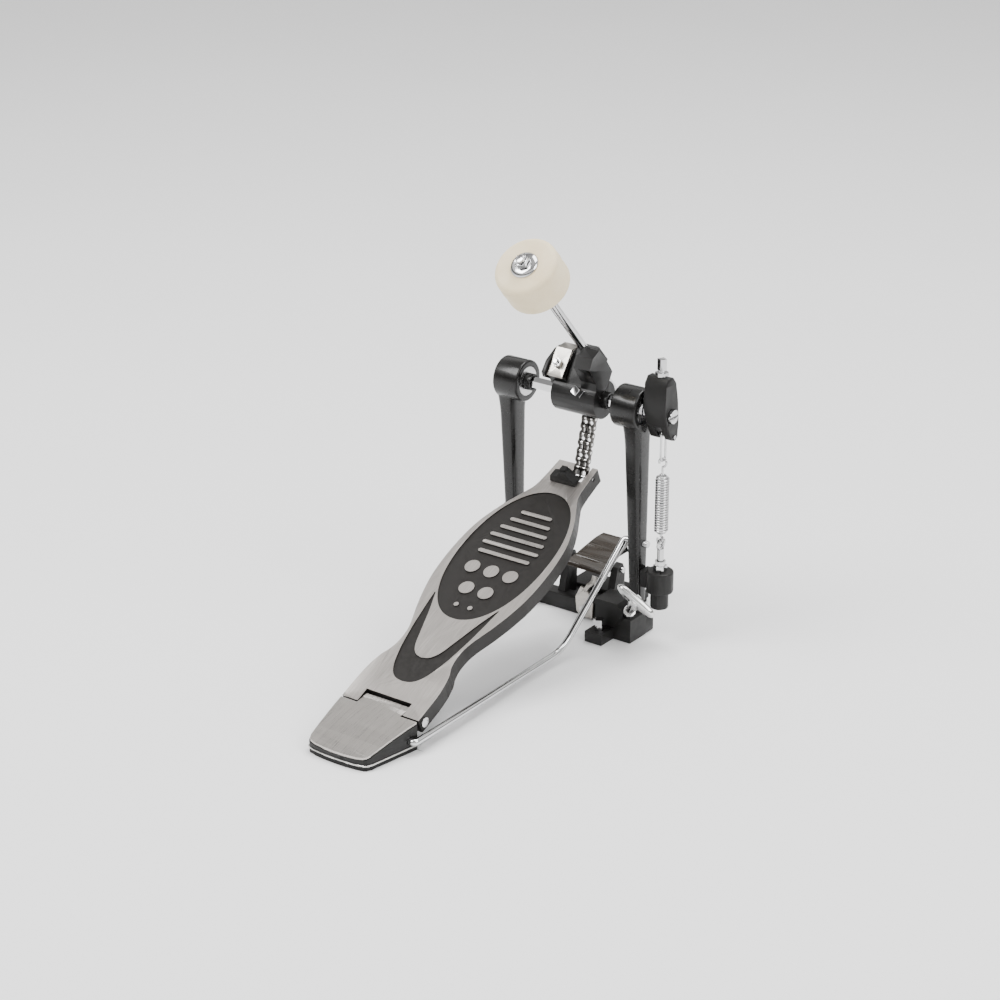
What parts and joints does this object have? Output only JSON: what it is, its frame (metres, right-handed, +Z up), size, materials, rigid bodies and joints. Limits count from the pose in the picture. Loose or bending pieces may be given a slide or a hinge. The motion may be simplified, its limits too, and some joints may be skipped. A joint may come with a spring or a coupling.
{
  "type": "bass drum pedal",
  "caption": "Chain-driven bass drum pedal: hinged silver footboard, felt beater on a clamp hub, two bearing posts, side spring, hoop clamp and wire radius rods.",
  "frame": {"origin": "on the floor, under the middle of the base bar between the two posts", "axes": "+X to the player's right along the axle, +Y towards the drum, +Z up"},
  "size_m": [0.1538, 0.3474, 0.3157],
  "materials": {
    "painted_black": "semi-gloss black paint, lightly worn",
    "cast_black": "satin black over rough casting",
    "chrome_plate": "polished, dusty",
    "bright_steel": "bright, slightly dull",
    "brushed_silver": "brushed and worn, with black painted recesses",
    "dull_steel": "satin",
    "black_rubber": "matt",
    "wool_felt": "pressed cream felt, worn",
    "hub_black": "satin black with worn edges"
  },
  "bodies": {
    "frame": {"base_casting": "cast_black", "base_grip": "black_rubber", "lower_jaw_pad": "black_rubber", "jaw_pivot_pin": "chrome_plate", "lever_rivet": "bright_steel", "left_post": "painted_black", "right_post": "painted_black", "left_inner_bearing": "bright_steel", "left_outer_bearing": "bright_steel", "right_inner_bearing": "bright_steel", "right_outer_bearing": "bright_steel", "spring_boss": "cast_black", "eye_bolt": "chrome_plate"},
    "hoop_jaw": {"hoop_clamp_jaw": "painted_black", "upper_jaw_pad": "black_rubber"},
    "clamp_lever": {"clamp_lever": "chrome_plate"},
    "wing_bolt": {"wing_bolt": "chrome_plate"},
    "right_floor_spike": {"right_floor_spike": "chrome_plate"},
    "left_floor_spike": {"left_floor_spike": "chrome_plate"},
    "tension_knob": {"tension_knob": "cast_black"},
    "lock_nut": {"lock_nut": "chrome_plate"},
    "axle": {"axle": "chrome_plate", "beater_holder": "hub_black", "rod_clamp_plate": "dull_steel", "left_collar": "cast_black", "right_collar": "cast_black", "spring_rocker": "cast_black", "spring_pin": "chrome_plate", "axle_end_screw": "chrome_plate", "chain_wrap": "bright_steel"},
    "rod_clamp_screw": {"rod_clamp_screw": "chrome_plate"},
    "hub_key_screw": {"hub_key_screw": "chrome_plate"},
    "rocker_key_screw": {"rocker_key_screw": "chrome_plate"},
    "chain_link_3": {"chain_link_3": "bright_steel"},
    "chain_link_2": {"chain_link_2": "bright_steel"},
    "chain_link_1": {"chain_link_1": "bright_steel"},
    "beater": {"beater_rod": "chrome_plate", "beater_felt": "wool_felt", "beater_washer": "chrome_plate", "beater_nut": "chrome_plate", "beater_collar": "bright_steel"},
    "spring_lower": {"spring_lower_hook": "bright_steel", "spring_coil": "bright_steel"},
    "spring_upper": {"spring_upper_hook": "bright_steel", "spring_link": "bright_steel"},
    "heel": {"heel_rubber_pad": "black_rubber", "heel_base_plate": "dull_steel", "heel_block": "cast_black", "heel_cover": "brushed_silver", "hinge_pin": "chrome_plate", "left_radius_rod": "chrome_plate", "right_radius_rod": "chrome_plate"},
    "footboard": {"footboard": "brushed_silver", "toe_stop": "black_rubber", "chain_anchor_pin": "bright_steel"},
    "chain_drop": {"chain_drop": "bright_steel"}
  },
  "joints": [
    {"name": "axle_turn", "type": "hinge", "parent": "frame", "child": "axle", "pos_m": [0, -0.016, 0.18431], "axis": [-1, 0, 0], "range_deg": [0, 50], "stiffness_Nm_per_rad": 0.5, "springref_deg": -34.38},
    {"name": "heel_lift", "type": "hinge", "parent": "frame", "child": "heel", "pos_m": [0, -0.012, 0.077], "axis": [-1, 0, 0], "range_deg": [0, 5]},
    {"name": "footboard_press", "type": "hinge", "parent": "heel", "child": "footboard", "pos_m": [0, -0.24426, 0.01793], "axis": [-1, 0, 0], "range_deg": [0, 4.1]},
    {"name": "chain_drop_swing", "type": "hinge", "parent": "footboard", "child": "chain_drop", "pos_m": [0.006, -0.01471, 0.11849], "axis": [1, 0, 0], "range_deg": [0, 11.7]},
    {"name": "chain_link_3_unroll", "type": "hinge", "parent": "axle", "child": "chain_link_3", "pos_m": [0.006, -0.00456, 0.19742], "axis": [1, 0, 0], "range_deg": [0, 5.1]},
    {"name": "chain_link_2_unroll", "type": "hinge", "parent": "chain_link_3", "child": "chain_link_2", "pos_m": [0.006, -0.00062, 0.19244], "axis": [1, 0, 0], "range_deg": [0, 21.1]},
    {"name": "chain_link_1_unroll", "type": "hinge", "parent": "chain_link_2", "child": "chain_link_1", "pos_m": [0.006, 0.00128, 0.18638], "axis": [1, 0, 0], "range_deg": [0, 21.1]},
    {"name": "spring_swing", "type": "hinge", "parent": "frame", "child": "spring_lower", "pos_m": [0.076, -0.0115, 0.08], "axis": [1, 0, 0], "range_deg": [0, 9.6]},
    {"name": "spring_stretch", "type": "slide", "parent": "spring_lower", "child": "spring_upper", "axis": [0, 0, 1], "range_m": [0, 0.0042], "deforming": ["spring_coil"]},
    {"name": "beater_height", "type": "slide", "parent": "axle", "child": "beater", "axis": [0, -0.6756, 0.7373], "range_m": [-0.02, 0.025]},
    {"name": "wing_bolt_turn", "type": "hinge", "parent": "frame", "child": "wing_bolt", "pos_m": [0.0559, -0.0232, 0.02224], "axis": [0.5413, -0.4986, 0.6771], "range_deg": [0, 1440]},
    {"name": "hoop_jaw_close", "type": "hinge", "parent": "frame", "child": "hoop_jaw", "pos_m": [0, 0.011, 0.0385], "axis": [-1, 0, 0], "range_deg": [0, 20.1]},
    {"name": "clamp_lever_tilt", "type": "hinge", "parent": "frame", "child": "clamp_lever", "pos_m": [0.0075, -0.009, 0.008], "axis": [0, -1, 0], "range_deg": [0, 4.1]},
    {"name": "right_floor_spike_turn", "type": "hinge", "parent": "frame", "child": "right_floor_spike", "pos_m": [0.0378, -0.0345, 0.005], "axis": [0, 0, 1], "continuous": true},
    {"name": "left_floor_spike_turn", "type": "hinge", "parent": "frame", "child": "left_floor_spike", "pos_m": [-0.053, -0.0345, 0.005], "axis": [0, 0, 1], "continuous": true},
    {"name": "tension_knob_turn", "type": "hinge", "parent": "frame", "child": "tension_knob", "pos_m": [0.076, -0.0115, 0.035], "axis": [0, 0, 1], "continuous": true},
    {"name": "lock_nut_turn", "type": "hinge", "parent": "frame", "child": "lock_nut", "pos_m": [0.076, -0.0115, 0.062], "axis": [0, 0, 1], "continuous": true},
    {"name": "rod_clamp_screw_turn", "type": "hinge", "parent": "axle", "child": "rod_clamp_screw", "pos_m": [-0.0085, -0.023, 0.20641], "axis": [0, -0.8, 0.6], "continuous": true},
    {"name": "hub_key_screw_turn", "type": "hinge", "parent": "axle", "child": "hub_key_screw", "pos_m": [0.0135, -0.0288, 0.19112], "axis": [0, -0.8829, 0.4695], "continuous": true},
    {"name": "rocker_key_screw_turn", "type": "hinge", "parent": "axle", "child": "rocker_key_screw", "pos_m": [0.076, -0.016, 0.20431], "axis": [0, 0, 1], "continuous": true}
  ],
  "couplings": [
    {"joint": "footboard_press", "follows": "axle_turn", "ratio": 0.081205},
    {"joint": "chain_drop_swing", "follows": "axle_turn", "ratio": 0.23218},
    {"joint": "chain_link_3_unroll", "follows": "axle_turn", "ratio": 0.099604},
    {"joint": "chain_link_2_unroll", "follows": "axle_turn", "ratio": 0.42055},
    {"joint": "chain_link_1_unroll", "follows": "axle_turn", "ratio": 0.42055},
    {"joint": "spring_swing", "follows": "axle_turn", "ratio": 0.1902},
    {"joint": "spring_stretch", "follows": "axle_turn", "m_per_rad": 0.0046442},
    {"joint": "hoop_jaw_close", "follows": "wing_bolt_turn", "ratio": 0.013889},
    {"joint": "clamp_lever_tilt", "follows": "wing_bolt_turn", "ratio": 0.002778}
  ]
}
